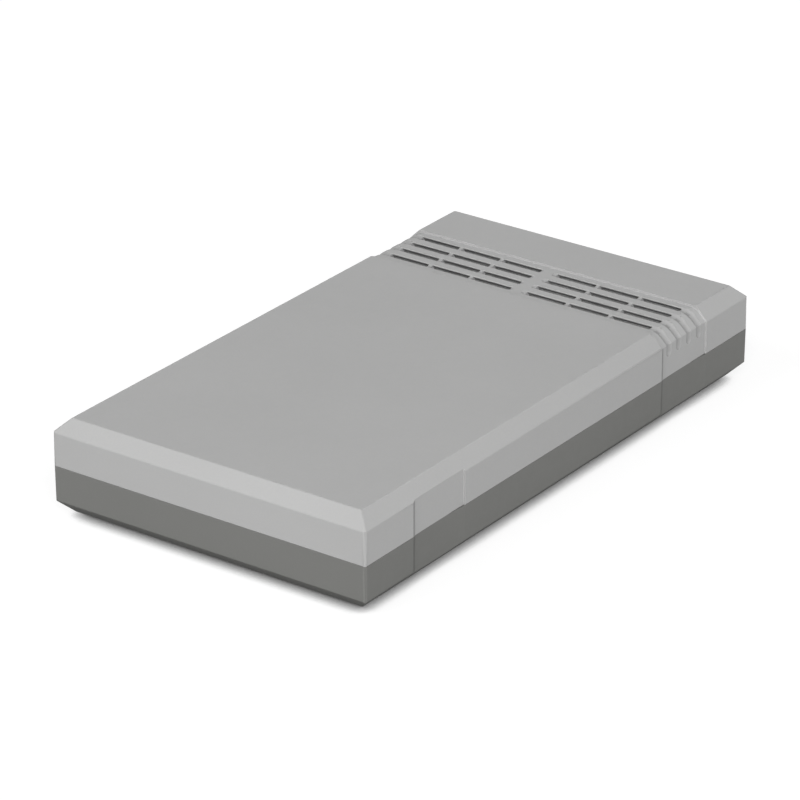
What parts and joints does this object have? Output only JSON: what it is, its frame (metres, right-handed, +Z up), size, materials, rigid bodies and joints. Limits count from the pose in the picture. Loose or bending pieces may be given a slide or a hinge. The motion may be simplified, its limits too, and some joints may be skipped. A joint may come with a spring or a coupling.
{
  "type": "desktop enclosure",
  "caption": "Flat two-tone plastic desktop enclosure with bevelled edges, recessed side bands and a slotted ventilation grille across the rear of its lid.",
  "frame": {"origin": "on the desk, under the middle of the case", "axes": "+X to the right seen from the front, +Y from the front to the vented rear, +Z up"},
  "size_m": [0.12, 0.215, 0.0338],
  "materials": {
    "light_grey_abs": "fine matt moulding grain",
    "warm_grey_abs": "fine matt moulding grain",
    "zinc_steel": "bright zinc plate",
    "black_rubber": "matt rubber"
  },
  "bodies": {
    "root": {"upper_shell": "light_grey_abs", "lower_shell": "warm_grey_abs", "case_screws": "zinc_steel", "foot_front_left": "black_rubber", "foot_front_right": "black_rubber", "foot_rear_left": "black_rubber", "foot_rear_right": "black_rubber"}
  },
  "joints": []
}
